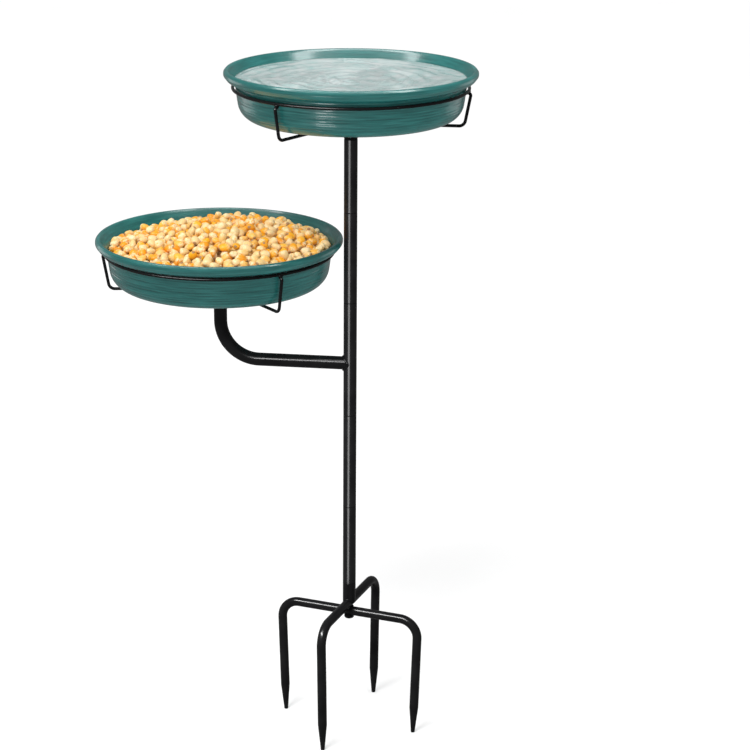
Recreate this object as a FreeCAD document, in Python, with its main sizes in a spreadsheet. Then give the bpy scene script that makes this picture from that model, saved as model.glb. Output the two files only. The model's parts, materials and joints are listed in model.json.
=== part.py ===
"""A two-dish garden bird station on a four-pronged ground stake, as a parametric assembly.

Millimetres, +Z up. The origin lies on the pole's axis at the level of the prong tips, and the side
arm points to -X. Every sub-part is an object of the document, and its label names its file.
"""
import FreeCAD, Part
import Sketcher
import math
import os

doc = FreeCAD.newDocument("bird_station")
V = FreeCAD.Vector
X, Y, Z = V(1, 0, 0), V(0, 1, 0), V(0, 0, 1)

# ---------------------------------------------------------------- driving dimensions
SIZES = {
    "pole_od": 17.0,            # outside of the pole tubes, the side arm and the couplers
    "pole_id": 14.6,
    "joint_edge": 0.6,          # chamfer on the outer edges of tubes and couplers
    "stake_tube_len": 108.0,    # the five pole tubes, from the ground up
    "low_tube_len": 126.0,
    "arm_tube_len": 150.0,
    "high_tube_len": 117.0,
    "top_tube_len": 93.0,
    "stud_d": 8.0,              # threaded studs that join the tubes
    "stud_bore_d": 8.2,
    "stud_reach": 13.0,         # how far a stud stands out of its tube
    "stud_tip": 1.0,
    "plug_len": 12.0,           # how far a stud's plug is pressed into the tube
    "insert_len": 15.0,
    "socket_floor_z": 173.4,    # lowest edge of the socket, level with the middle of the upper fork's rod
    "socket_len": 28.6,
    "socket_web": 15.0,         # solid end of the socket that the clamp bolt screws into
    "saddle_gap": 0.1,          # play of the upper fork's rod in the socket's saddle
    "rod_d": 12.0,              # rod of the two forks
    "fork_half_span": 97.0,     # pole axis to the corner of the rod's centre line
    "fork_bend": 24.0,
    "prong_lean": 1.8,          # degrees that a prong leans inward
    "point_len": 36.0,
    "point_d": 5.0,
    "trim": 0.5,                # a point's overlength, cut off level with the others
    "eye_half": 5.6,            # centre of a fork's rod to the flat pressed round its bolt hole
    "eye_len": 20.0,
    "eye_bore_d": 6.6,
    "fork_turn": -14.0,         # degrees from +X to the lower fork
    "bolt_d": 6.0,
    "bolt_gap": 0.1,            # play of its thread in the socket, on the radius
    "bolt_head_d": 13.0,
    "bolt_head_high": 3.4,
    "bolt_head_round": 2.4,
    "recess_flats": 4.0,        # hexagon recess of its head
    "recess_deep": 2.2,
    "bolt_len": 32.0,
    "washer_d": 12.0,
    "washer_gap": 0.3,          # play round the bolt, on the radius
    "washer_edge": 0.2,
    "washer_thick": 1.2,
    "spacer_thick": 1.0,        # washer between the two forks
    "arm_z": 505.0,
    "arm_reach": 167.5,         # pole axis to the axis of the arm's upright
    "arm_bend": 50.0,
    "weld_wide": 1.8,
    "feed_floor_z": 605.0,      # top of the feed holder's coupler, where the dish rests
    "coupler_len": 26.0,        # threaded coupler under each dish
    "wire_d": 4.0,
    "ring_mean_r": 145.2,
    "water_ring_drop": 22.0,    # rim of a dish down to the middle of its holder's ring
    "feed_ring_drop": 17.5,
    "wire_foot_drop": 6.0,      # top of a coupler down to the middle of the wires under the dish
    "wire_foot_r": 140.0,       # corner of a holder wire's centre line under the dish
    "wire_top_r": 147.8,        # and where it turns in under the ring
    "wire_elbow": 8.0,
    "wire_hook": 3.2,
    "hook_end_r": 142.9,        # end of a wire, just clear of the dish
    "water_wire_turn": -119.5,  # degrees from +X to the first wire of each holder
    "feed_wire_turn": -48.0,
    "seat_gap": 0.1,
    "dish_high": 61.0,
    "dish_rim_r": 156.5,
    "dish_floor": 2.4,          # thickness of its floor, and of its wall measured level
    "dish_wall": 2.5,
    "dish_neck_r": 142.8,       # outside of the wall just under the rim
    "dish_neck_drop": 16.0,
    "dish_foot_r": 136.6,       # where the wall would meet the underside without its round
    "dish_round": 23.0,
    "collar_step": 2.5,         # ledge at the neck, under the turned-out collar
    "collar_step_high": 1.0,
    "collar_in": 4.0,           # foot of the lip: in from its outer face, and down from its top
    "collar_drop": 12.0,
    "lip_face_drop": 6.5,       # lower and upper edges of the lip's outer face, from its top
    "lip_edge_drop": 3.0,
    "lip_slope": 2.5,           # width of the slope above the face, and depth of the one inside
    "lip_top": 3.0,             # width of the lip's flat top
    "lip_inner": 2.0,           # width of the slope inside
    "shoulder_high": 3.0,       # where the wall meets the collar inside, above the neck
    "rim_round": 1.2,
}

sheet = doc.addObject("Spreadsheet::Sheet", "Sizes")
for row, (alias, value) in enumerate(SIZES.items(), start=1):
    sheet.set(f"A{row}", alias)
    sheet.set(f"B{row}", str(value))
    sheet.setAlias(f"B{row}", alias)
doc.recompute()

sub_parts = []


def cells(expression):
    """An expression in which @name stands for the sheet's cell of that name."""
    return expression.replace("@", "Sizes.")


def worth(expression):
    """What such an expression comes to."""
    return float(sheet.evalExpression(cells(expression)))


def bind(obj, **properties):
    """Ties properties of an object to the sheet; a double underscore stands for a dot."""
    for name, expression in properties.items():
        obj.setExpression(name.replace("__", "."), cells(expression))


def place(obj, x="0", y="0", z="0"):
    bind(obj, Placement__Base__x=x, Placement__Base__y=y, Placement__Base__z=z)


def turn(obj, degrees):
    """Turns an object about its own upright axis."""
    obj.Placement.Rotation = FreeCAD.Rotation(Z, 1)
    bind(obj, Placement__Rotation__Angle=degrees)


def keep(obj, label):
    """Names an object as a finished sub-part."""
    obj.Label = label
    sub_parts.append(obj)
    return obj


# ---------------------------------------------------------------- heights
SOCKET_TOP = "@socket_floor_z + @socket_len"
LOW_TUBE_Z = f"{SOCKET_TOP} + @stake_tube_len"
ARM_TUBE_Z = f"{LOW_TUBE_Z} + @low_tube_len"
HIGH_TUBE_Z = f"{ARM_TUBE_Z} + @arm_tube_len"
TOP_TUBE_Z = f"{HIGH_TUBE_Z} + @high_tube_len"
POLE_TOP = f"{TOP_TUBE_Z} + @top_tube_len"
WATER_FLOOR = f"{POLE_TOP} + @coupler_len"
FEED_FLOOR = "@feed_floor_z"
ARM_TOP = f"{FEED_FLOOR} - @coupler_len"
UPPER_ROD_Z = "@socket_floor_z"
LOWER_ROD_Z = f"{UPPER_ROD_Z} - 2 * @eye_half - @spacer_thick"
BOLT_SEAT_Z = f"{LOWER_ROD_Z} - @eye_half - @washer_thick"
LEAST_CUT = 20.0                # cubic millimetres that the saddle and the recess must each take away


# ---------------------------------------------------------------- bodies and sketches
def new_body(name):
    return doc.addObject("PartDesign::Body", name)


def sketch_on(body, role, name):
    """A sketch on one of a body's origin planes."""
    sketch = body.newObject("Sketcher::SketchObject", name)
    plane = next(f for f in body.Origin.OriginFeatures if f.Role == role)
    sketch.AttachmentSupport = [(plane, "")]
    sketch.MapMode = "FlatFace"
    return sketch


def set_size(sketch, name, constraint, expression):
    """Adds a dimension to a sketch and ties it to the sheet."""
    sketch.renameConstraint(sketch.addConstraint(constraint), name)
    sketch.setExpression(f"Constraints.{name}", cells(expression))


def locate(sketch, tag, geometry, point, across, up):
    """Fixes a point of a sketch by its two distances from the sketch's origin."""
    for kind, expression in (("DistanceX", across), ("DistanceY", up)):
        constraint = Sketcher.Constraint(kind, -1, 1, geometry, point, worth(expression))
        set_size(sketch, f"{kind}_{tag}", constraint, expression)


def add_circle(sketch, diameter, up="0"):
    """A circle on the sketch's upright axis."""
    circle = sketch.addGeometry(Part.Circle(V(0, worth(up), 0), Z, worth(diameter) / 2), False)
    locate(sketch, "centre", circle, 3, "0", up)
    set_size(sketch, "diameter", Sketcher.Constraint("Diameter", circle, worth(diameter)), diameter)


def add_outline(sketch, corners):
    """A closed outline of straight lines through corners given as pairs of expressions."""
    points = [V(worth(across), worth(up), 0) for across, up in corners]
    lines = [Part.LineSegment(a, b) for a, b in zip(points, points[1:] + points[:1])]
    sketch.addGeometry(lines, False)
    for i, (across, up) in enumerate(corners):
        sketch.addConstraint(Sketcher.Constraint("Coincident", i - 1 if i else len(corners) - 1, 2, i, 1))
        locate(sketch, str(i), i, 1, across, up)


def pocket(body, sketch, depth=None):
    """Cuts a sketch out of a body: upward to a depth, or else right through on both sides."""
    doc.recompute()
    before = body.Shape.Volume
    feature = body.newObject("PartDesign::Pocket", sketch.Name + "_pocket")
    feature.Profile = sketch
    if depth is None:
        feature.Type = "ThroughAll"
        feature.Midplane = True
    else:
        feature.Reversed = True
        bind(feature, Length=depth)
    doc.recompute()
    assert body.Shape.Volume < before - LEAST_CUT, f"{sketch.Name} cut nothing"


def turned_body(label, corners, x="0", z="0"):
    """A body turned about its upright axis from one outline of its half section."""
    body = new_body(label)
    sketch = sketch_on(body, "XZ_Plane", label + "_outline")
    add_outline(sketch, corners)
    feature = body.newObject("PartDesign::Revolution", label + "_revolution")
    feature.Profile = sketch
    feature.ReferenceAxis = (sketch, ["V_Axis"])
    feature.Angle = 360.0
    place(body, x=x, z=z)
    return body


def edges_at(shape, places):
    """Names of a turned shape's circular edges at the given pairs of radius and height."""
    found = []
    for i, edge in enumerate(shape.Edges, start=1):
        curve = edge.Curve
        if isinstance(curve, Part.Circle):
            if any(abs(curve.Radius - r) < 0.01 and abs(curve.Center.z - z) < 0.01 for r, z in places):
                found.append(f"Edge{i}")
    return found


def round_edges(body, name, radius, corners):
    """Rounds a body's circular edges that stand at the given corners of its outline."""
    doc.recompute()
    base = body.Tip
    places = [(worth(across), worth(up)) for across, up in corners]
    feature = body.newObject("PartDesign::Fillet", name)
    feature.Base = (base, edges_at(base.Shape, places))
    bind(feature, Radius=radius)


def sleeve(half, inner, length, edge="@joint_edge"):
    """Half section of a sleeve from height zero, its two outer edges chamfered."""
    return [(inner, "0"), (f"{half} - {edge}", "0"), (half, edge), (half, f"{length} - {edge}"),
            (f"{half} - {edge}", length), (inner, length)]


# ---------------------------------------------------------------- primitives
def rod(name, radius, height, x="0", z="0", axis=Z):
    bar = doc.addObject("Part::Cylinder", name)
    bind(bar, Radius=radius, Height=height)
    bar.Placement.Rotation = FreeCAD.Rotation(Z, axis)
    place(bar, x=x, z=z)
    return bar


def block(name, length, width, height, z):
    """A box centred on the upright axis, with its underside at z."""
    result = doc.addObject("Part::Box", name)
    bind(result, Length=length, Width=width, Height=height)
    place(result, x=f"-({length}) / 2", y=f"-({width}) / 2", z=z)
    return result


def fused(name, *shapes):
    result = doc.addObject("Part::MultiFuse", name)
    result.Shapes = list(shapes)
    return result


def common(name, *shapes):
    result = doc.addObject("Part::MultiCommon", name)
    result.Shapes = list(shapes)
    return result


def cut(name, base, tool):
    result = doc.addObject("Part::Cut", name)
    result.Base = base
    result.Tool = tool
    return result


# ---------------------------------------------------------------- bent rods, wires and tubes
def bent_path(name, corners, radii):
    """A centre line in the XZ plane: straight runs between corners, rounded by tangent arcs.

    Construction points mark the corners, and the runs on both sides of each pass through it.
    """
    points = [V(worth(across), worth(up), 0) for across, up in corners]
    heading = [(b - a).normalize() for a, b in zip(points, points[1:])]
    sketch = doc.addObject("Sketcher::SketchObject", name)
    sketch.Placement.Rotation = FreeCAD.Rotation(X, 90)
    starts, ends, arcs = [points[0]], [], []
    for i, radius in enumerate(radii, start=1):
        before, after = heading[i - 1], heading[i]
        setback = worth(radius) * math.tan(before.getAngle(after) / 2)
        ends.append(points[i] - before * setback)
        starts.append(points[i] + after * setback)
        inward = (after - before).normalize()
        centre = points[i] + inward * math.hypot(setback, worth(radius))
        arcs.append(Part.Arc(ends[-1], centre - inward * worth(radius), starts[-1]))
    ends.append(points[-1])
    for i, (start, end) in enumerate(zip(starts, ends)):
        sketch.addGeometry(Part.LineSegment(start, end), False)
        if i < len(arcs):
            sketch.addGeometry(arcs[i], False)
    for i, radius in enumerate(radii):
        run, arc, following = 2 * i, 2 * i + 1, 2 * i + 2
        clockwise = heading[i].cross(heading[i + 1]).z < 0
        first, last = (2, 1) if clockwise else (1, 2)
        sketch.addConstraint(Sketcher.Constraint("Tangent", run, 2, arc, first))
        sketch.addConstraint(Sketcher.Constraint("Tangent", arc, last, following, 1))
        set_size(sketch, f"radius_{i}", Sketcher.Constraint("Radius", arc, worth(radius)), radius)
        corner = sketch.addGeometry(Part.Point(points[i + 1]), True)
        locate(sketch, f"corner_{i}", corner, 1, *corners[i + 1])
        sketch.addConstraint(Sketcher.Constraint("PointOnObject", corner, 1, run))
        sketch.addConstraint(Sketcher.Constraint("PointOnObject", corner, 1, following))
    locate(sketch, "start", 0, 1, *corners[0])
    locate(sketch, "end", 2 * len(radii), 2, *corners[-1])
    return sketch


def swept(name, path, corners, diameter, heading):
    """A round bar along a bent path that sets off in the given direction."""
    section = doc.addObject("Part::Circle", name + "_section")
    bind(section, Radius=f"({diameter}) / 2")
    section.Placement.Rotation = FreeCAD.Rotation(Z, heading)
    place(section, x=corners[0][0], z=corners[0][1])
    bar = doc.addObject("Part::Sweep", name)
    bar.Sections = [section]
    bar.Spine = (path, [f"Edge{i + 1}" for i in range(len(path.Shape.Edges))])
    bar.Solid = True
    bar.Frenet = False
    return bar


# ---------------------------------------------------------------- pole
def pole_tube(label, z, length):
    """A plain tube with lightly chamfered ends, which show as the seams of the pole."""
    keep(turned_body(label, sleeve("@pole_od / 2", "@pole_id / 2", length), z=z), label)


def stud(label, z, side, x="0"):
    """A plug pressed into a tube's end, with the threaded stud that stands out of it.

    z is the tube's end, and side is + for a stud that points up, - for one that points down.
    """
    other = "-" if side == "+" else "+"
    plug, bar = "@pole_id / 2", "@stud_d / 2"
    tip = f"{side} (@stud_reach - @stud_tip)"
    corners = [("0", f"{other} @plug_len"), (plug, f"{other} @plug_len"), (plug, "0"), (bar, "0"),
               (bar, tip), (f"{bar} - @stud_tip", f"{side} @stud_reach"), ("0", f"{side} @stud_reach")]
    keep(turned_body(label, corners, x=x, z=z), label)


def insert(label, z):
    """The threaded bush pressed into a tube's upper end, whose top is at z."""
    bore, outer = "@stud_bore_d / 2", "@pole_id / 2"
    corners = [(bore, "-@insert_len"), (outer, "-@insert_len"), (outer, "0"), (bore, "0")]
    keep(turned_body(label, corners, z=z), label)


def make_pole():
    tubes = [("stake", SOCKET_TOP, "@stake_tube_len"), ("low", LOW_TUBE_Z, "@low_tube_len"),
             ("arm", ARM_TUBE_Z, "@arm_tube_len"), ("high", HIGH_TUBE_Z, "@high_tube_len"),
             ("top", TOP_TUBE_Z, "@top_tube_len")]
    for name, foot, length in tubes:
        pole_tube(f"{name}_tube", foot, length)
        stud(f"{name}_tube_stud", foot, "-")
    for name, foot, length in tubes[:-1]:
        insert(f"{name}_tube_insert", f"{foot} + {length}")
    stud("water_holder_stud", POLE_TOP, "+")


# ---------------------------------------------------------------- ground stake
def fork(label, rod_z, degrees, flats):
    """A rod bent into a U, drawn down to a blunt point at each end and bored in the middle.

    flats lists the sides, + for the top and - for the underside, that are pressed flat.
    """
    lean = "tan(@prong_lean * 1deg)"
    prong_end = f"@fork_half_span - ({rod_z} - @point_len) * {lean}"
    corners = [("0", rod_z), ("@fork_half_span", rod_z), (prong_end, "@point_len")]
    path = bent_path(label + "_path", corners, ["@fork_bend"])
    doc.recompute()
    bar = swept(label + "_bar", path, corners, "@rod_d", X)

    point = doc.addObject("Part::Cone", label + "_point")
    bind(point, Radius1="@point_d / 2", Radius2="@rod_d / 2",
         Height="(@point_len + @trim) / cos(@prong_lean * 1deg)")
    point.Placement.Rotation = FreeCAD.Rotation(Y, 1)
    bind(point, Placement__Rotation__Angle="@prong_lean")
    place(point, x=f"{prong_end} - (@point_len + @trim) * {lean}", z="-@trim")

    half = fused(label + "_half", bar, point)
    other = doc.addObject("Part::Mirroring", label + "_other_half")
    other.Source = half
    other.Normal = X
    whole = fused(label + "_whole", half, other)

    tools = [rod(label + "_hole", "@eye_bore_d / 2", "2 * @rod_d", z=f"{rod_z} - @rod_d"),
             block(label + "_ground", "3 * @fork_half_span", "3 * @rod_d", "@rod_d", "-@rod_d")]
    for side in flats:
        under = f"{rod_z} + @eye_half" if side == "+" else f"{rod_z} - @eye_half - @rod_d"
        name = f"{label}_{'top' if side == '+' else 'under'}_flat"
        tools.append(block(name, "@eye_len", "2 * @rod_d", "@rod_d", under))
    result = cut(label + "_cut", whole, fused(label + "_tools", *tools))
    turn(result, degrees)
    keep(result, label)


def stake_socket():
    """The coupler that straddles the upper fork: solid at its foot but for the bolt's thread."""
    bolt, bore = "@bolt_d / 2 + @bolt_gap", "@stud_bore_d / 2"
    corners = sleeve("@pole_od / 2", bolt, "@socket_len")[:-1]
    corners += [(bore, "@socket_len"), (bore, "@socket_web"), (bolt, "@socket_web")]
    body = turned_body("stake_socket", corners, z="@socket_floor_z")
    saddle = sketch_on(body, "YZ_Plane", "saddle")
    add_circle(saddle, "@rod_d + @saddle_gap")
    pocket(body, saddle)
    turn(body, "@fork_turn + 90")
    keep(body, "stake_socket")


def washer(label, z, thick):
    """A plain washer with its underside at z."""
    corners = sleeve("@washer_d / 2", "@bolt_d / 2 + @washer_gap", thick, edge="@washer_edge")
    keep(turned_body(label, corners, z=z), label)


def clamp_bolt():
    """Round-headed screw, with a hexagon recess, that goes up through both forks into the socket."""
    head, shank, high = "@bolt_head_d / 2", "@bolt_d / 2", "@bolt_head_high"
    rim = (head, "0")
    corners = [("0", "0"), rim, (head, high), (shank, high), (shank, f"{high} + @bolt_len"),
               ("0", f"{high} + @bolt_len")]
    body = turned_body("clamp_bolt", corners, z=f"{BOLT_SEAT_Z} - @bolt_head_high")
    round_edges(body, "bolt_head_round", "@bolt_head_round", [rim])
    recess = sketch_on(body, "XY_Plane", "recess")
    across = "@recess_flats / cos(30deg) / 2"
    add_outline(recess, [(f"{across} * cos({60 * i}deg)", f"{across} * sin({60 * i}deg)")
                         for i in range(6)])
    pocket(body, recess, depth="@recess_deep")
    keep(body, "clamp_bolt")


def make_stake():
    fork("upper_fork", UPPER_ROD_Z, "@fork_turn + 90", "-")
    fork("lower_fork", LOWER_ROD_Z, "@fork_turn", "+-")
    stake_socket()
    washer("fork_spacer", f"{LOWER_ROD_Z} + @eye_half", "@spacer_thick")
    washer("bolt_washer", BOLT_SEAT_Z, "@washer_thick")
    clamp_bolt()


# ---------------------------------------------------------------- side arm
def make_arm():
    """The bent tube, coped to the pole, its weld and the stud at its top."""
    corners = [("0", "@arm_z"), ("-@arm_reach", "@arm_z"), ("-@arm_reach", ARM_TOP)]
    path = bent_path("side_arm_path", corners, ["@arm_bend"])
    doc.recompute()
    skin = swept("side_arm_skin", path, corners, "@pole_od", -X)
    bore = swept("side_arm_bore", path, corners, "@pole_id", -X)
    low, high = "@arm_z - 2 * @pole_od", "4 * @pole_od"
    cope = rod("side_arm_cope", "@pole_od / 2", high, z=low)
    keep(cut("side_arm_tube", cut("side_arm_hollow", skin, bore), cope), "side_arm")

    # The weld fills the corner round the arm's end, on the arm's side of the pole.
    outer = "@pole_od / 2 + @weld_wide"
    fill = common("weld_fill", rod("weld_round_pole", outer, high, z=low),
                  rod("weld_round_arm", outer, outer, z="@arm_z", axis=-X))
    bare = fused("weld_bare", rod("weld_pole", "@pole_od / 2", high, z=low),
                 rod("weld_arm", "@pole_od / 2", "2 * @pole_od", z="@arm_z", axis=-X))
    keep(cut("weld_bead", fill, bare), "arm_weld")
    stud("feed_holder_stud", ARM_TOP, "+", x="-@arm_reach")


# ---------------------------------------------------------------- dish holders
def holder_wire(label, x, floor_z, ring_drop, degrees):
    """One bent wire: out from the coupler under the dish, up, and in under the ring.

    Its height zero is the top of the coupler, where the dish rests.
    """
    foot_z = "-@wire_foot_drop"
    hook_z = f"@dish_high - {ring_drop} - @wire_d"
    corners = [("0", foot_z), ("@wire_foot_r", foot_z), ("@wire_top_r", hook_z), ("@hook_end_r", hook_z)]
    path = bent_path(label + "_path", corners, ["@wire_elbow", "@wire_hook"])
    doc.recompute()
    bar = swept(label + "_bar", path, corners, "@wire_d", X)
    hub = rod(label + "_hub", "@pole_od / 2", "2 * @pole_od", z="-@pole_od")
    wire = cut(label + "_cut", bar, hub)
    turn(wire, degrees)
    place(wire, x=x, z=floor_z)
    keep(wire, label)


def make_holder(name, x, floor_z, ring_drop, first_turn):
    """The coupler, the ring and the three wires that carry one dish."""
    label = f"{name}_holder_coupler"
    corners = sleeve("@pole_od / 2", "@stud_bore_d / 2", "@coupler_len")
    keep(turned_body(label, corners, x=x, z=f"{floor_z} - @coupler_len"), label)
    ring = doc.addObject("Part::Torus", f"{name}_ring")
    bind(ring, Radius1="@ring_mean_r", Radius2="@wire_d / 2")
    place(ring, x=x, z=f"{floor_z} + @dish_high - {ring_drop}")
    keep(ring, f"{name}_holder_ring")
    for i in range(3):
        degrees = f"{first_turn} + {120 * i}"
        holder_wire(f"{name}_holder_wire_{i + 1}", x, floor_z, ring_drop, degrees)


# ---------------------------------------------------------------- dishes
def make_dish(label, x, floor_z):
    """A shallow dish with a rounded foot, a sloping wall and a turned-out, thickened rim."""
    high, rim, neck, foot = "@dish_high", "@dish_rim_r", "@dish_neck_r", "@dish_foot_r"
    neck_z = f"({high} - @dish_neck_drop)"
    slope = f"({neck} - {foot}) / {neck_z}"
    outer_foot = (foot, "0")
    inner_foot = (f"{foot} - @dish_wall + @dish_floor * {slope}", "@dish_floor")
    collar = [(neck, neck_z), (f"{neck} + @collar_step", f"{neck_z} + @collar_step_high"),
              (f"{rim} - @collar_in", f"{high} - @collar_drop")]
    inside = f"{rim} - @lip_slope - @lip_top"
    lip = [(rim, f"{high} - @lip_face_drop"), (rim, f"{high} - @lip_edge_drop"),
           (f"{rim} - @lip_slope", high), (inside, high),
           (f"{inside} - @lip_inner", f"{high} - @lip_slope")]
    shoulder = (f"{neck} - @dish_wall + @shoulder_high * {slope}", f"{neck_z} + @shoulder_high")
    corners = [("0", "0"), outer_foot] + collar + lip + [shoulder, inner_foot, ("0", "@dish_floor")]
    body = turned_body(label, corners, x=x, z=f"{floor_z} + @seat_gap")
    round_edges(body, label + "_foot_round", "@dish_round", [outer_foot])
    round_edges(body, label + "_floor_round", "@dish_round - @dish_floor", [inner_foot])
    round_edges(body, label + "_rim_round", "@rim_round", lip)
    keep(body, label)


def make_dishes():
    for name, x, floor_z in (("water", "0", WATER_FLOOR), ("feed", "-@arm_reach", FEED_FLOOR)):
        make_holder(name, x, floor_z, f"@{name}_ring_drop", f"@{name}_wire_turn")
        make_dish(f"{name}_dish", x, floor_z)


# ---------------------------------------------------------------- build, test and write
def check_and_write():
    doc.recompute()
    failed = [o.Label for o in doc.Objects if {"Invalid", "Error"} & set(o.State)]
    loose = [o.Label for o in doc.Objects if o.isDerivedFrom("Sketcher::SketchObject")
             and not o.FullyConstrained]
    bad = [o.Label for o in sub_parts
           if o.Shape.isNull() or not o.Shape.isValid() or len(o.Shape.Solids) != 1]
    if failed or loose or bad:
        raise SystemExit(f"failed objects {failed}, loose sketches {loose}, bad shapes {bad}")
    os.makedirs("parts", exist_ok=True)
    for part in sub_parts:
        part.Shape.exportStep(f"parts/{part.Label}.step")
        print(f"{part.Label:24s} {part.Shape.Volume:10.1f} mm3")


make_stake()
make_pole()
make_arm()
make_dishes()
check_and_write()
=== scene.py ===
"""Looks of the two-dish garden bird feeder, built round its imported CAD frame.

Lengths are millimetres in the CAD's frame, and become metres in mesh_object. The scales of
materials, the lamps and the camera are in metres. Heights of a dish are above its underside.
"""
import json
import math
import random

import bpy
import numpy as np
from mathutils import Matrix, Vector, noise


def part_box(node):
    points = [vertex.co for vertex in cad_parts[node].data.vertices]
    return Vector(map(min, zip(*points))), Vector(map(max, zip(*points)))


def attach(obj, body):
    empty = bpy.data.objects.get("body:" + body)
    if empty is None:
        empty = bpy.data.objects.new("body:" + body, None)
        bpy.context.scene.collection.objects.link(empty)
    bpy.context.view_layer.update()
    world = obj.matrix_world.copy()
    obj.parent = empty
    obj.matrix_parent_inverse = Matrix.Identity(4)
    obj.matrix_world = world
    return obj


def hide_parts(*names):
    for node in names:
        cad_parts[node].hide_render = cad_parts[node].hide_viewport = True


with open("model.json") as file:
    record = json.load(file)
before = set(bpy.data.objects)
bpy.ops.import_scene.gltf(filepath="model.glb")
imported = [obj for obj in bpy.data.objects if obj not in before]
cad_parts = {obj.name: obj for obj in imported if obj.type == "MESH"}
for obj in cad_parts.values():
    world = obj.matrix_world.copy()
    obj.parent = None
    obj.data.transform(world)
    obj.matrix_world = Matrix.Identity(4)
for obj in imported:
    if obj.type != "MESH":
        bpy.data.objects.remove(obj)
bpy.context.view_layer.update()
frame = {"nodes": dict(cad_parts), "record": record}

MM = 0.001
TURN = 2 * math.pi
X, Y, Z = 0, 1, 2
TINY = 1e-6


# ---------------------------------------------------------------- places, read from the frame
def corner_mm(node, which):
    """Lowest (0) or highest (1) corner of a CAD node, in millimetres."""
    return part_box(node)[which] / MM


def middle_mm(node, axis):
    """Middle of a CAD node's box along an axis, in millimetres."""
    return (corner_mm(node, 0)[axis] + corner_mm(node, 1)[axis]) / 2


def half_mm(node, axis):
    """Half the size of a CAD node's box along an axis, in millimetres."""
    return (corner_mm(node, 1)[axis] - corner_mm(node, 0)[axis]) / 2


WIRE_R = 2.0
ROD_R = 6.0
WATER_BASE = corner_mm("water_dish", 0).z
FEED_BASE = corner_mm("feed_dish", 0).z
DISH_HIGH = corner_mm("water_dish", 1).z - WATER_BASE
DISH_RIM = half_mm("water_dish", X)
ARM_REACH = -middle_mm("feed_dish", X)
ARM_Z = middle_mm("arm_weld", Z)
RING_MEAN = half_mm("water_holder_ring", X) - WIRE_R
POLE_R = corner_mm("arm_tube", 1).x

# Half section of a dish: the corners of its outline, out along the underside, up the wall,
# over the rim and back inside, each with the radius of its round.
FOOT_R = 136.6
FOOT_ROUND = 23.0
NECK_R = 142.8
NECK_Z = 45.0
WALL = 2.4
DISH_CORNERS = [
    (0, 0, 0), (FOOT_R, 0, FOOT_ROUND), (NECK_R, NECK_Z, 1.5),
    (NECK_R + 2.5, NECK_Z + 1.2, 2.0), (152.3, 49, 5.0),
    (DISH_RIM, 54.5, 2.5), (DISH_RIM, 58, 2.0), (154, DISH_HIGH, 2.0), (151, DISH_HIGH, 1.6),
    (149, 58.5, 2.0), (140.8, 47, 5.0), (FOOT_R - 2.1, WALL, FOOT_ROUND - WALL), (0, WALL, 0),
]
ARC_STEP, ARC_TURN = 1.2, 0.16   # most of a round between two points, in mm and in radians


# ---------------------------------------------------------------- meshes
def mesh_object(name, verts_mm, faces, smooth=True):
    """A mesh object in the CAD's frame from vertices in millimetres."""
    mesh = bpy.data.meshes.new(name)
    mesh.from_pydata([(x * MM, y * MM, z * MM) for x, y, z in verts_mm], [], faces)
    mesh.validate()
    if smooth:
        mesh.shade_smooth()
    obj = bpy.data.objects.new(name, mesh)
    bpy.context.scene.collection.objects.link(obj)
    return obj


def point_values(obj, name, values):
    """Stores one number for each vertex, for a material to read."""
    obj.data.attributes.new(name, "FLOAT", "POINT").data.foreach_set("value", values)


def directions(angle):
    """Level unit vectors at an angle about an upright axis: outward, and square to that."""
    c, s = math.cos(angle), math.sin(angle)
    return Vector((c, s, 0)), Vector((-s, c, 0))


def upward(height):
    return Vector((0, 0, height))


def rounded(corners):
    """Points along an outline of (across, up, round) corners, with the rounds as arcs."""
    points = []
    flat = [Vector((x, y)) for x, y, _ in corners]
    for i, (_, _, radius) in enumerate(corners):
        here = flat[i]
        if radius == 0 or i in (0, len(corners) - 1):
            points.append(here)
            continue
        back, ahead = (flat[i - 1] - here).normalized(), (flat[i + 1] - here).normalized()
        half = back.angle(ahead) / 2
        setback = radius / math.tan(half)
        centre = here + (back + ahead).normalized() * (radius / math.sin(half))
        start, end = here + back * setback - centre, here + ahead * setback - centre
        swing = start.angle_signed(end)
        count = max(3, int(abs(swing) * radius / ARC_STEP), int(abs(swing) / ARC_TURN))
        for k in range(count + 1):
            points.append(centre + Matrix.Rotation(-swing * k / count, 2) @ start)
    return points


def filled(points, step):
    """The same outline with points added so that none are further apart than step."""
    out = [points[0]]
    for a, b in zip(points, points[1:]):
        count = max(1, math.ceil((b - a).length / step))
        out += [a.lerp(b, k / count) for k in range(1, count + 1)]
    return out


def revolved(name, profile, around, x, z, shift):
    """Turns a profile of (radius, height) about an upright axis; shift moves a point outward."""
    verts, rings = [], []
    for r, h in profile:
        if r < TINY:
            rings.append([len(verts)])
            verts.append((x, 0, z + h))
            continue
        ring = []
        for k in range(around):
            a = TURN * k / around
            shifted = r + shift(r, h, a)
            ring.append(len(verts))
            verts.append((x + shifted * math.cos(a), shifted * math.sin(a), z + h))
        rings.append(ring)
    faces = []
    for low, high in zip(rings, rings[1:]):
        for k in range(around):
            n = (k + 1) % around
            if len(low) == 1:
                faces.append((low[0], high[n], high[k]))
            elif len(high) == 1:
                faces.append((low[k], low[n], high[0]))
            else:
                faces.append((low[k], low[n], high[n], high[k]))
    return mesh_object(name, verts, faces)


def capped_faces(rings, around):
    """Faces over a first point, a number of rings of as many points each, and a last point."""
    end = 1 + rings * around
    faces = []
    for k in range(around):
        n = (k + 1) % around
        faces.append((0, 1 + k, 1 + n))
        faces.append((end, end - around + n, end - around + k))
        for i in range(rings - 1):
            a = 1 + i * around
            faces.append((a + k, a + around + k, a + around + n, a + n))
    return faces


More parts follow.
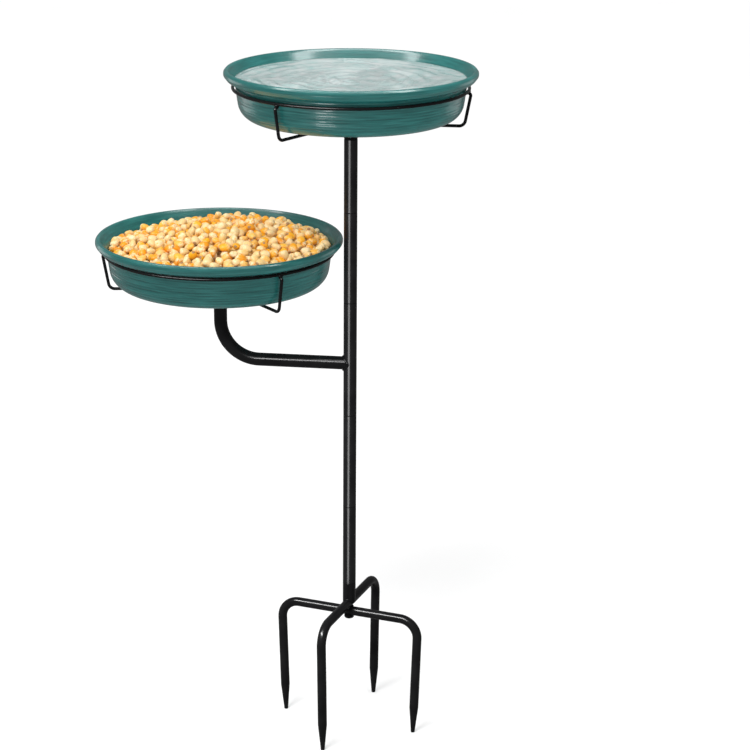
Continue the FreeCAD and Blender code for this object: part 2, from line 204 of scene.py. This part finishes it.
def ring_points(radius, around, level):
    """A ring about a dish's own axis; level(x, y) gives the height of each point."""
    points = []
    for k in range(around):
        a = TURN * k / around
        x, y = radius * math.cos(a), radius * math.sin(a)
        points.append((x, y, level(x, y)))
    return points


def dish_fill(name, x, base, top, surface, heights, clearance, around):
    """What fills a dish, as a closed body: its surface's rings from the middle out, then the
    inside of the wall at the given heights, down to the floor."""
    rings = list(surface)
    for h in heights:
        rings.append(ring_points(inner_radius(h) - clearance, around, lambda *_: h))
    points = [(0, 0, top), *(p for ring in rings for p in ring), (0, 0, heights[-1])]
    verts = [(px + x, py, pz + base) for px, py, pz in points]
    return mesh_object(name, verts, capped_faces(len(rings), around))


def tube_data(points, radii, sides=20, closed=False):
    """Vertices and faces of a tube along points, carried round its bends without twisting."""
    points = [Vector(p) for p in points]
    count = len(points)
    ahead = []
    for i in range(count):
        if closed:
            ahead.append((points[(i + 1) % count] - points[i - 1]).normalized())
        else:
            ahead.append((points[min(i + 1, count - 1)] - points[max(i - 1, 0)]).normalized())
    side = ahead[0].orthogonal().normalized()
    verts, faces = [], []
    for p, t, radius in zip(points, ahead, radii):
        side = (side - t * side.dot(t)).normalized()
        up = t.cross(side)
        for k in range(sides):
            a = TURN * k / sides
            verts.append(tuple(p + (side * math.cos(a) + up * math.sin(a)) * radius))
    for i in range(count if closed else count - 1):
        j = (i + 1) % count
        for k in range(sides):
            n = (k + 1) % sides
            faces.append((i * sides + k, i * sides + n, j * sides + n, j * sides + k))
    if not closed:
        faces.append(tuple(reversed(range(sides))))
        faces.append(tuple(range((count - 1) * sides, count * sides)))
    return verts, faces


def joined(parts):
    """One list of vertices and faces from several."""
    verts, faces = [], []
    for v, f in parts:
        base = len(verts)
        verts += v
        faces += [tuple(i + base for i in face) for face in f]
    return verts, faces


# ---------------------------------------------------------------- material nodes
def new_material(name):
    """A node material, a helper that adds a node to it, and one that sets its shader's inputs.

    An input given as another node's output is linked, and any other value is set.
    """
    material = bpy.data.materials.new(name)
    material.use_nodes = True
    tree = material.node_tree

    def set_inputs(node, inputs):
        for key, value in inputs.items():
            if isinstance(value, bpy.types.NodeSocket):
                tree.links.new(value, node.inputs[key])
            else:
                node.inputs[key].default_value = value

    def add(kind, inputs, **settings):
        node = tree.nodes.new(kind)
        for key, value in settings.items():
            setattr(node, key, value)
        set_inputs(node, inputs)
        return node

    def shade(inputs):
        set_inputs(tree.nodes["Principled BSDF"], inputs)

    return material, add, shade


def speckle(add, scale, detail=2.0, stretch=(1, 1, 1), roughness=0.5):
    """Noise in the object's own metres; stretch divides its frequency along each axis."""
    place = add("ShaderNodeTexCoord", {})
    mapping = add("ShaderNodeMapping", {"Vector": place.outputs["Object"],
                                        "Scale": tuple(1 / s for s in stretch)})
    node = add("ShaderNodeTexNoise", {"Vector": mapping.outputs["Vector"], "Scale": scale,
                                      "Detail": detail, "Roughness": roughness})
    return node.outputs["Fac"]


def painted_value(add, name):
    """A number stored on the mesh by point_values."""
    return add("ShaderNodeAttribute", {}, attribute_name=name).outputs["Fac"]


def ramp(add, value, stops):
    """A colour ramp with the given (position, colour) stops."""
    node = add("ShaderNodeValToRGB", {"Fac": value})
    elements = node.color_ramp.elements
    while len(elements) < len(stops):
        elements.new(0.5)
    for element, (position, colour) in zip(elements, stops):
        element.position = position
        element.color = (*colour, 1.0)
    return node.outputs["Color"]


def ranged(add, value, low, high, starts=0.0, ends=1.0):
    """The value carried from starts..ends to low..high."""
    node = add("ShaderNodeMapRange", {"Value": value, "From Min": starts, "From Max": ends,
                                      "To Min": low, "To Max": high})
    return node.outputs["Result"]


def mixed(add, factor, first, second, **settings):
    """Two colours mixed; sockets 6 and 7 of a Mix node are its colours, and output 2 is theirs."""
    node = add("ShaderNodeMix", {"Factor": factor, 6: first, 7: second}, data_type="RGBA",
               **settings)
    return node.outputs[2]


def maths(add, operation, *values):
    return add("ShaderNodeMath", dict(enumerate(values)), operation=operation).outputs[0]


def bumped(add, height, strength, distance):
    node = add("ShaderNodeBump", {"Height": height, "Strength": strength, "Distance": distance})
    return node.outputs["Normal"]


# ---------------------------------------------------------------- materials
def coated_steel():
    """Black satin powder coat: fine orange peel and faint clouding."""
    material, add, shade = new_material("black_powder_coat")
    cloud = speckle(add, 38.0, detail=4.0)
    peel = speckle(add, 1100.0)
    shade({
        "Base Color": ramp(add, cloud, [(0.3, (0.0016, 0.0016, 0.0018)),
                                        (0.7, (0.0034, 0.0034, 0.0036))]),
        "Roughness": ranged(add, cloud, 0.17, 0.25),
        "Normal": bumped(add, peel, 0.12, 0.00012),
        "IOR": 1.25,
    })
    return material


def plated_steel():
    """Zinc-plated thread and plug, brushed round."""
    material, add, shade = new_material("zinc_plating")
    streak = speckle(add, 500.0, detail=3.0, stretch=(4, 4, 1))
    shade({
        "Base Color": ramp(add, streak, [(0.3, (0.42, 0.41, 0.38)), (0.7, (0.62, 0.61, 0.58))]),
        "Roughness": ranged(add, streak, 0.25, 0.45),
        "Metallic": 1.0,
    })
    return material


def dish_plastic():
    """Glossy teal-green moulded plastic with flow streaks round the wall and painted shade in its
    grooves.
    """
    material, add, shade = new_material("teal_plastic")
    streak = speckle(add, 22.0, detail=5.0, stretch=(1, 1, 0.05), roughness=0.62)
    colour = ramp(add, streak, [(0.28, (0.004, 0.069, 0.065)), (0.5, (0.007, 0.103, 0.096)),
                                (0.74, (0.018, 0.155, 0.145))])
    # Painted shade: the colour is mixed towards a deep teal where the wall's grooves are deepest.
    sunk = ranged(add, painted_value(add, "groove"), 0.0, 0.6)
    fine = speckle(add, 260.0, detail=3.0, stretch=(1, 1, 0.12))
    grain = speckle(add, 520.0, stretch=(1, 1, 0.8))
    shade({
        "Base Color": mixed(add, sunk, colour, (0.004, 0.045, 0.044, 1)),
        "Roughness": ranged(add, streak, 0.26, 0.40),
        "Normal": bumped(add, maths(add, "MULTIPLY_ADD", grain, 2.5, fine), 0.3, 0.0003),
        "Specular IOR Level": 0.4,
        "Coat Weight": 0.6,
        "Coat Roughness": 0.13,
    })
    return material


def maize():
    """Kernels from cream to orange, paler at the crown, with a tan tip, over a darker brown bed
    that is painted shade.
    """
    material, add, shade = new_material("maize")
    # The last stop is the bed's darker brown, painted shade in the gaps between the kernels.
    body = ramp(add, painted_value(add, "tint"), [
        (0.0, (0.82, 0.60, 0.30)), (0.36, (0.82, 0.50, 0.15)), (0.56, (0.90, 0.43, 0.015)),
        (0.93, (0.86, 0.31, 0.008)), (SHADED_BED_TINT, (0.42, 0.2, 0.05))])
    crown = painted_value(add, "crown")
    mottle = speckle(add, 420.0)
    pale = ranged(add, maths(add, "MULTIPLY", crown, mottle), 0.0, 1.0, starts=0.28, ends=0.52)
    topped = mixed(add, pale, body, (0.88, 0.71, 0.42, 1))
    tip = ranged(add, crown, 0.0, 1.0, starts=0.10, ends=0.03)
    shade({
        "Base Color": mixed(add, tip, topped, (0.36, 0.20, 0.09, 1)),
        "Normal": bumped(add, mottle, 0.15, 0.0004),
        "Roughness": 0.38,
        "Subsurface Weight": 0.12,
        "Subsurface Radius": (0.0030, 0.0016, 0.0006),
        "Subsurface Scale": 1.0,
    })
    return material


def pond_water():
    """Water, partly see-through, with a pale whitish-cyan colour that varies in patches and a
    finely broken surface.
    """
    material, add, shade = new_material("water")
    pale_patches = speckle(add, 60.0, detail=6.0, roughness=0.65)
    fine = speckle(add, 240.0, detail=3.0)
    shade({
        "Base Color": ramp(add, pale_patches, [(0.35, (0.62, 0.84, 0.82)), (0.65, (0.94, 1.0, 1.0))]),
        "Normal": bumped(add, fine, 0.2, 0.0005),
        "Roughness": 0.06,
        "Transmission Weight": 0.55,
        "IOR": 1.33,
    })
    return material


def dimmed_in_gloss(tree, full):
    """A factor that is full, but GLOSS_SHARE for what glossy surfaces see, as with studio flags."""
    path = tree.nodes.new("ShaderNodeLightPath")
    factor = tree.nodes.new("ShaderNodeMapRange")
    tree.links.new(path.outputs["Is Glossy Ray"], factor.inputs["Value"])
    factor.inputs["To Min"].default_value = full
    factor.inputs["To Max"].default_value = GLOSS_SHARE
    return factor.outputs["Result"]


def pale_floor():
    """Matt near-white paper."""
    material, add, shade = new_material("pale_floor")
    cloud = speckle(add, 3.0, detail=3.0)
    colour = ramp(add, cloud, [(0.3, (0.88, 0.88, 0.88)), (0.7, (0.90, 0.90, 0.90))])
    dim = dimmed_in_gloss(material.node_tree, 1.0)
    shade({
        "Base Color": mixed(add, 1.0, colour, dim, blend_type="MULTIPLY"),
        "Roughness": 0.9,
        "Specular IOR Level": 0.0,
    })
    return material


GLOSS_SHARE = 0.2                # how bright the surroundings look in reflections
SKY = 1.12                       # strength of the even light from all round
KERNEL_TINTS = 0.93              # kernels take tints from 0 to this
SHADED_BED_TINT = 1.0                   # and the bed under them this one, a darker brown that is painted shade between the kernels
STEEL = coated_steel()
ZINC = plated_steel()
PLASTIC = dish_plastic()
MAIZE = maize()
WATER = pond_water()
PAINTS = {"black_coated_steel": STEEL, "plated_steel": ZINC, "dish_plastic": PLASTIC,
          "maize_feed": MAIZE, "water_fill": WATER}


def finish_piece(obj, body, slot, *replaced):
    """Gives a new piece its body and its slot's material, and hides the CAD nodes it stands for."""
    obj.data.materials.append(PAINTS[slot])
    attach(obj, body)
    if replaced:
        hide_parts(*replaced)


def paint_frame():
    """Materials of the CAD nodes that stay as they are."""
    slots = {part["node"]: part["material_slot"] for part in frame["record"]["subparts"]}
    for name, obj in frame["nodes"].items():
        obj.data.materials.clear()
        obj.data.materials.append(PAINTS[slots[name]])


# ---------------------------------------------------------------- dishes
DISH_OUTLINE = rounded(DISH_CORNERS)
RIM_START = next(i for i, p in enumerate(DISH_OUTLINE) if p.y > DISH_HIGH - TINY)
DISH_AROUND = 256                # points round a dish
OUTER_STEP, INNER_STEP = 0.75, 6.0   # most between points, up the ribbed wall and inside
FLAT_R = 106.6                   # the underside is one plain disc out to here
RIB_FROM, RIB_TO = 7.0, 43.8     # heights between which the wall is ribbed
RIB_INNER = 110.8                # and the least radius of a rib
RIB_PITCH = 3.5
RIB_DEPTH = 0.42


def inner_radius(h):
    """Inside radius of a dish at a height."""
    inner = DISH_OUTLINE[RIM_START + 1:]
    for a, b in zip(inner, inner[1:]):
        if b.y <= h <= a.y and a.y > b.y:
            return a.x + (b.x - a.x) * (a.y - h) / (a.y - b.y)
    return 0.0


def wall_middle(h):
    """Radius of the middle of a dish's wall at a height."""
    lean = (NECK_R - FOOT_R) / NECK_Z
    if h < FOOT_ROUND:
        centre = FOOT_R + lean * FOOT_ROUND - FOOT_ROUND
        sunk = FOOT_ROUND - h
        return centre + math.sqrt(max(0.0, FOOT_ROUND ** 2 - sunk ** 2)) - WALL / 2 - 0.6
    return FOOT_R + lean * h - WALL / 2


def rib_shift(r, h, angle):
    """The wall's ribs: shallow grooves outside, whose depth wanders, as on thrown pottery."""
    if r < RIB_INNER or r <= wall_middle(h) or not RIB_FROM < h < RIB_TO:
        return 0.0
    fade = min(1.0, (h - RIB_FROM) / 4, (RIB_TO - h) / 2)
    east, north = math.cos(angle), math.sin(angle)
    wander = noise.noise(Vector((4.5 * east, 4.5 * north, h * 0.31)))
    drift = (noise.noise(Vector((1.5 * east, 1.5 * north, 5.0)))
             + 1.4 * noise.noise(Vector((0, 0, h * 0.13))))
    groove = (0.5 + 0.5 * math.cos(TURN * (h / RIB_PITCH + 0.25 * drift))) ** 2
    return -RIB_DEPTH * fade * groove * max(0.0, 0.5 + 1.5 * wander)


def make_dish(node, x, base):
    """A dish with its ribbed wall, in place of the plain CAD one."""
    outer = filled(DISH_OUTLINE[:RIM_START], OUTER_STEP)
    inner = filled(DISH_OUTLINE[RIM_START:], INNER_STEP)
    profile = [tuple(p) for p in outer if p.x > FLAT_R or p.x < TINY]
    profile += [tuple(p) for p in inner]
    obj = revolved(f"{node}_shell", profile, DISH_AROUND, x, base, rib_shift)
    depths = []
    for v in obj.data.vertices:
        px, py, h = v.co.x / MM - x, v.co.y / MM, v.co.z / MM - base
        depth = -rib_shift(math.hypot(px, py), h, math.atan2(py, px)) / RIB_DEPTH
        depths.append(min(1.0, max(0.0, depth)))
    # The depth of the grooves, which the plastic also uses to paint shade into them.
    point_values(obj, "groove", depths)
    finish_piece(obj, node, "dish_plastic", node)


# ---------------------------------------------------------------- welds
def wobbly(radius, count, seed, ripple=0.12):
    """Radii of a weld bead that swells and narrows along its length."""
    rng = random.Random(seed)
    phase = rng.random() * TURN
    return [radius * (1 + ripple * math.sin(phase + i * 1.9) + rng.uniform(-0.05, 0.05))
            for i in range(count)]


def arm_weld():
    """A rippled bead along the saddle where the arm's end meets the pole."""
    count = 72
    bead_r = 1.45
    stand = POLE_R + 0.25
    points = []
    for k in range(count):
        a = TURN * k / count
        x = -math.sqrt((POLE_R * math.cos(a)) ** 2 + 3.0)
        points.append((x, stand * math.sin(a), ARM_Z + stand * math.cos(a)))
    verts, faces = tube_data(points, wobbly(bead_r, count, 3), sides=12, closed=True)
    finish_piece(mesh_object("arm_weld_bead", verts, faces), "stake_and_pole",
                 "black_coated_steel", "arm_weld")


def saddle_edges():
    """The socket's turned-in edges over the upper fork, where the rod leaves it on each side."""
    count = 25
    edge_r = 0.75
    reach = ROD_R + 0.2
    fork_z = corner_mm("upper_fork", 1).z - ROD_R
    socket_r = corner_mm("stake_socket", 1).x
    x, y, _ = next(m["pos_m"] for m in frame["record"]["mounts"] if m["name"] == "front_prong")
    parts = []
    for angle in (math.atan2(y, x), math.atan2(-y, -x)):
        out, across = directions(angle)
        arch = []
        for k in range(count):
            t = math.pi * k / (count - 1)
            aside = reach * math.cos(t)
            arch.append(out * math.sqrt(socket_r ** 2 - aside ** 2) + across * aside
                        + upward(fork_z + reach * math.sin(t)))
        parts.append(tube_data(arch, wobbly(edge_r, count, 7, 0.08), sides=10))
    verts, faces = joined(parts)
    finish_piece(mesh_object("saddle_edges", verts, faces), "stake_and_pole",
                 "black_coated_steel")


def blob(centre, across, seed):
    """A smooth lump of weld metal; the columns of across are its half sizes."""
    rng = random.Random(seed)
    offset = Vector((rng.random() * 9, rng.random() * 9, rng.random() * 9))
    rows, sides = 8, 14
    verts = [tuple(centre + across @ upward(1))]
    for i in range(1, rows):
        tilt = math.pi * i / rows
        for k in range(sides):
            a = TURN * k / sides
            unit = Vector((math.sin(tilt) * math.cos(a), math.sin(tilt) * math.sin(a),
                           math.cos(tilt)))
            swell = 1 + 0.12 * noise.noise(unit * 1.7 + offset)
            verts.append(tuple(centre + across @ unit * swell))
    verts.append(tuple(centre + across @ upward(-1)))
    return verts, capped_faces(rows - 1, sides)


def wire_angles(name, x0):
    """Directions of a holder's three wires, from where their meshes reach furthest out."""
    found = []
    for i in (1, 2, 3):
        mesh = frame["nodes"][f"{name}_holder_wire_{i}"].data
        far = max(((v.co.x / MM - x0, v.co.y / MM) for v in mesh.vertices),
                  key=lambda p: p[0] ** 2 + p[1] ** 2)
        found.append(math.atan2(far[1], far[0]))
    return found


def holder_welds(name):
    """A holder's welds: each wire to its ring and its coupler, and the ring's own butt weld."""
    x0 = middle_mm(f"{name}_holder_ring", X)
    ring_z = middle_mm(f"{name}_holder_ring", Z)
    foot_z = corner_mm(f"{name}_holder_wire_1", 0).z + WIRE_R
    hub_bead_r, hub_bead_wire, hub_count = 2.3, 0.8, 20
    angles = wire_angles(name, x0)
    parts = []
    for i, angle in enumerate(angles):
        out, across = directions(angle)
        spread = Matrix((out * 2.3, across * 2.9, upward(1.5))).transposed()
        joint = Vector((x0, 0, ring_z - WIRE_R)) + out * RING_MEAN
        parts.append(blob(joint, spread, 11 * i + 5))
        hub = Vector((x0, 0, foot_z)) + out * (POLE_R + 0.3)
        ring = [hub + across * hub_bead_r * math.cos(t) + upward(hub_bead_r * math.sin(t))
                for t in (TURN * k / hub_count for k in range(hub_count))]
        parts.append(tube_data(ring, wobbly(hub_bead_wire, hub_count, i), sides=8, closed=True))
    out, along = directions(angles[0] + math.radians(60))
    middle = Vector((x0, 0, ring_z)) + out * RING_MEAN
    seam = {-1.6: 2.0, -1.0: 2.16, -0.4: 2.24, 0.4: 2.22, 1.0: 2.14, 1.6: 2.0}
    parts.append(tube_data([middle + along * s for s in seam], seam.values()))
    verts, faces = joined(parts)
    finish_piece(mesh_object(f"{name}_holder_welds", verts, faces), f"{name}_holder",
                 "black_coated_steel")


# ---------------------------------------------------------------- water
WATER_DOWN = 11.0                # level of the water below the rim
SPLASH = Vector((6.0, -12.0))    # middle of the rings on the water
SPRAY = Vector((-38.0, -34.0))   # and of the patch that is broken by spray
SPRAY_REACH = 38
RING_HIGH, RING_PITCH = 1.3, 19.0


def make_water():
    """The water as a closed body: its rippled surface and the inside of the dish under it."""
    level = DISH_HIGH - WATER_DOWN
    around, steps = 192, 76
    clearance, floor_gap = 0.15, 0.2
    shore = inner_radius(level) - clearance

    def swell(x, y):
        here = Vector((x, y))
        away = (here - SPLASH).length
        bent = away + 5 * noise.noise(Vector((x * 0.03, y * 0.03, 4.0)))
        broken = max(0.0, 0.45 + 1.3 * noise.noise(Vector((x * 0.022, y * 0.022, 9.0))))
        rings = (RING_HIGH * broken * math.sin(bent * TURN / RING_PITCH - 0.6)
                 * min(1, away / 12))
        chop = 0.5 * noise.noise(Vector((x * 0.06, y * 0.06, 2.0)))
        spray = math.exp(-((here - SPRAY).length / SPRAY_REACH) ** 2)
        chop += 1.3 * noise.noise(Vector((x * 0.2, y * 0.2, 7.0))) * spray
        edge = max(0.0, min(1.0, (shore - math.hypot(x, y)) / 10))
        return level + (rings + chop) * (0.35 + 0.65 * edge)

    surface = [ring_points(shore * i / steps, around, swell) for i in range(1, steps + 1)]
    heights = np.linspace(level - 3, WALL + floor_gap, 14)
    obj = dish_fill("water_fill", 0.0, WATER_BASE, level, surface, heights, clearance, around)
    finish_piece(obj, "water_dish", "water_fill")


# ---------------------------------------------------------------- maize
HEAP_EDGE_DOWN = 12.0            # the heap at the wall, below the rim
HEAP_TOP_UP = 8.0                # and its top, above it
HEAP_TOP_Y = 6                   # the top, behind the dish's middle
HEAP_REACH = 141
BED_DOWN = 8                     # the bed, below the heap's surface
KERNEL_LONG, KERNEL_WIDE, KERNEL_THICK = 13.8, 13.4, 10.4
# Layers of kernels: their reach, the least gap between middles, their height over the heap's
# surface and the number of places tried.
KERNEL_LAYERS = [(136.5, 8.8, -4.8, 14000), (136.0, 10.6, 0.6, 12000), (124.0, 25.0, 5.2, 900)]


def heap_height(x, y):
    """Height of the heap at a place measured from the dish's middle."""
    away = math.hypot(x, y - HEAP_TOP_Y) / HEAP_REACH
    dome = max(0.0, 1 - away ** 2.2)
    lumps = 1.8 * noise.noise(Vector((x * 0.025, y * 0.025, 3.0)))
    eaten = 0.03 * max(0.0, y) + 10 * max(0.0, -x / 140) * max(0.0, (y + 30) / 140)
    return DISH_HIGH - HEAP_EDGE_DOWN + (HEAP_TOP_UP + HEAP_EDGE_DOWN) * dome + lumps - eaten


def kernel_shape(seed):
    """A kernel about its middle, tip towards -Z: points, faces, and nearness to its crown."""
    rng = random.Random(seed)
    rows, sides = 8, 12
    dent = rng.uniform(0.05, 0.3)
    bend = rng.uniform(-0.12, 0.12)
    square = rng.uniform(0.75, 1.0)
    verts, crown = [], []
    for i in range(rows + 1):
        tilt = math.pi * i / rows
        if i in (0, rows):
            ring = [(0.0, 0.0)]
        else:
            ring = [(math.cos(TURN * k / sides), math.sin(TURN * k / sides))
                    for k in range(sides)]
        up = math.cos(tilt)
        reach = math.sin(tilt) ** square
        narrow = 0.62 + 0.38 * (up * 0.5 + 0.5) ** 0.7 if up < 0.4 else 1.0
        for cx, cy in ring:
            x = cx * reach * narrow * KERNEL_WIDE / 2
            y = cy * reach * (narrow * 0.9 + 0.1) * KERNEL_THICK / 2
            z = up * KERNEL_LONG / 2
            if up > 0.5:
                hollow = math.exp(-(cx * reach) ** 2 * 3)
                z -= dent * KERNEL_LONG / 2 * (up - 0.5) * 2 * hollow
            x += bend * z
            verts.append((x, y, z))
            crown.append(up * 0.5 + 0.5)
    return np.array(verts), capped_faces(rows - 1, sides), crown


def scattered(rng, reach, gap, tries):
    """Random places in a circle, none nearer to another than gap."""
    taken, places = {}, []
    for _ in range(tries):
        r, a = reach * math.sqrt(rng.random()), TURN * rng.random()
        x, y = r * math.cos(a), r * math.sin(a)
        col, row = math.floor(x / gap), math.floor(y / gap)
        near = (p for i in (-1, 0, 1) for j in (-1, 0, 1)
                for p in taken.get((col + i, row + j), ()))
        if all((p[0] - x) ** 2 + (p[1] - y) ** 2 > gap * gap for p in near):
            taken.setdefault((col, row), []).append((x, y))
            places.append((x, y))
    return places


def random_turn(rng):
    """A rotation that lays a kernel's flat side roughly up, with some left on end."""
    spin = Matrix.Rotation(rng.uniform(0, TURN), 3, "Z")
    lie = Matrix.Rotation(math.radians(rng.gauss(0, 38)), 3, "X")
    roll = Matrix.Rotation(math.radians(rng.gauss(90, 28)), 3, "X")
    yaw = Matrix.Rotation(math.radians(rng.gauss(0, 25)), 3, "Y")
    return np.array(spin @ yaw @ lie @ roll)


def make_kernels():
    """Whole kernels over the heap, each moved inward until it clears the dish's wall."""
    rng = random.Random(20)
    shapes = [kernel_shape(seed) for seed in range(8)]
    heights = np.linspace(WALL + 0.5, DISH_HIGH - 0.5, 60)
    wall_radii = np.array([inner_radius(h) for h in heights]) - 0.3
    points, faces, tints, crowns = [], [], [], []
    base = 0
    for reach, gap, lift, tries in KERNEL_LAYERS:
        for x, y in scattered(rng, reach, gap, tries):
            shape, shape_faces, crown = shapes[rng.randrange(len(shapes))]
            turn = random_turn(rng)
            z = heap_height(x, y) + lift + rng.uniform(-1.1, 1.1)
            size = rng.uniform(0.88, 1.1)
            placed = shape @ turn.T * size + (x, y, z)
            wall = np.interp(placed[:, Z], heights, wall_radii)
            over = (np.hypot(placed[:, X], placed[:, Y]) - wall).max()
            if over > 0:
                placed -= np.array((x, y, 0)) * over / math.hypot(x, y)
            points.append(placed + (-ARM_REACH, 0, FEED_BASE))
            faces += [tuple(i + base for i in face) for face in shape_faces]
            tints += [KERNEL_TINTS * rng.betavariate(0.8, 1.0)] * len(shape)
            crowns += crown
            base += len(shape)
    obj = mesh_object("maize_kernels", np.vstack(points).tolist(), faces)
    point_values(obj, "tint", tints)
    point_values(obj, "crown", crowns)
    finish_piece(obj, "feed_dish", "maize_feed")


def make_bed():
    """The maize under the kernels, as one closed body that fills the dish; its darker colour is
    painted shade in the gaps between the kernels.
    """
    around, steps = 96, 30
    clearance = 0.3

    def level(x, y):
        return heap_height(x, y) - BED_DOWN + noise.noise(Vector((x, y, 0)) * 0.2)

    edge = inner_radius(DISH_HIGH - HEAP_EDGE_DOWN - 4) - 0.5
    surface = [ring_points(r, around, level) for r in np.linspace(6, edge, steps)]
    heights = np.linspace(DISH_HIGH - HEAP_EDGE_DOWN - 14, WALL + 0.3, 8)
    bed = dish_fill("maize_bed", -ARM_REACH, FEED_BASE, heap_height(0, 0) - BED_DOWN, surface,
                    heights, clearance, around)
    # The bed takes the darker tint, painted shade in the gaps between the kernels.
    point_values(bed, "tint", [SHADED_BED_TINT] * len(bed.data.vertices))
    finish_piece(bed, "feed_dish", "maize_feed")


# ---------------------------------------------------------------- stage
FLOOR_HALF = 9000
STAGE_MIDDLE = Vector((-0.05, 0, 0.5))


def painted(material):
    """The visible objects of a material."""
    return [obj for obj in bpy.context.scene.objects
            if obj.type == "MESH" and obj.data.materials and obj.data.materials[0] == material]


def lamp(name, azimuth, elevation, distance, size, power, only, aim=STAGE_MIDDLE):
    """A rectangular lamp that lights only the given pieces.

    Its place is at a distance in metres from aim, at an azimuth (0 in front, + to the right)
    and an elevation in degrees; its size is in metres and its power in watts.
    """
    light = bpy.data.lights.new(name, "AREA")
    light.shape = "RECTANGLE"
    light.size, light.size_y = size
    light.energy = power
    obj = bpy.data.objects.new(name, light)
    a, e = math.radians(azimuth), math.radians(elevation)
    back = Vector((math.sin(a) * math.cos(e), -math.cos(a) * math.cos(e), math.sin(e)))
    obj.location = aim + back * distance
    obj.rotation_mode = "QUATERNION"
    obj.rotation_quaternion = (-back).to_track_quat("-Z", "Y")
    obj.visible_camera = False
    receivers = bpy.data.collections.new(f"{name}_receivers")
    for piece in only:
        receivers.objects.link(piece)
    obj.light_linking.receiver_collection = receivers
    bpy.context.scene.collection.objects.link(obj)


def make_stage():
    """A pale floor, even light from all round, and lamps that draw the highlights."""
    s = FLOOR_HALF
    floor = mesh_object("floor", [(-s, -s, 0), (s, -s, 0), (s, s, 0), (-s, s, 0)],
                        [(0, 1, 2, 3)], smooth=False)
    floor.data.materials.append(pale_floor())

    world = bpy.data.worlds.new("studio")
    bpy.context.scene.world = world
    world.use_nodes = True
    sky = world.node_tree.nodes["Background"]
    sky.inputs["Color"].default_value = (1, 1, 1, 1)
    world.node_tree.links.new(dimmed_in_gloss(world.node_tree, SKY), sky.inputs["Strength"])

    tubes = [frame["nodes"][f"{name}_tube"] for name in ("stake", "low", "arm", "high", "top")]
    forks = [frame["nodes"][name] for name in ("upper_fork", "lower_fork")]
    steel = [obj for obj in painted(STEEL) if obj not in tubes + forks]
    plastic = painted(PLASTIC)
    others = [obj for obj in bpy.context.scene.objects
              if obj.type == "MESH" and obj not in plastic]
    wall = [obj for obj in plastic if obj.name.startswith("water_dish")]
    lamp("pole_strip", -14, 0, 0.35, (0.17, 0.88), 8.5, tubes, aim=Vector((0, 0, 0.46)))
    lamp("fork_bar", -30, 42, 3.0, (2.6, 0.2), 420, forks)
    lamp("steel_bar", -30, 30, 3.0, (2.6, 0.5), 230, steel)
    lamp("rim_strip", 0, 84, 2.4, (3.6, 0.5), 75, plastic)
    lamp("left_edge", -118, 0, 2.4, (1.2, 1.6), 6, plastic)
    lamp("right_edge", 132, 0, 2.4, (1.2, 1.6), 4, plastic)
    lamp("wall_glint", -19, -34, 0.9, (0.28, 0.16), 1.3, wall, aim=Vector((-0.03, -0.14, 0.846)))
    lamp("front_key", -25, 50, 3.0, (1.2, 0.7), 50, others)


def make_camera():
    """The viewing angle: a little from the right and 18 degrees down, with a long lens."""
    camera = bpy.data.cameras.new("camera")
    obj = bpy.data.objects.new("camera", camera)
    azimuth, pitch, roll = math.radians(7.8), math.radians(17.96), 0.0036
    distance, height = 2.6192, 1.3381
    obj.location = (math.sin(azimuth) * distance, -math.cos(azimuth) * distance, height)
    obj.rotation_mode = "XYZ"
    ahead = Vector((-math.sin(azimuth) * math.cos(pitch), math.cos(azimuth) * math.cos(pitch),
                    -math.sin(pitch)))
    level = ahead.to_track_quat("-Z", "Y").to_matrix()
    obj.rotation_euler = (level @ Matrix.Rotation(roll, 3, "Z")).to_euler()
    camera.sensor_width = 36.0
    camera.lens = 103.25
    camera.shift_x = 0.0333
    camera.clip_start, camera.clip_end = 0.05, 60
    bpy.context.scene.collection.objects.link(obj)
    bpy.context.scene.camera = obj


# ---------------------------------------------------------------- make everything
make_camera()
bpy.context.scene.view_settings.view_transform = "Standard"
paint_frame()
make_dish("water_dish", 0.0, WATER_BASE)
make_dish("feed_dish", -ARM_REACH, FEED_BASE)
arm_weld()
saddle_edges()
holder_welds("water")
holder_welds("feed")
make_water()
make_kernels()
make_bed()
make_stage()
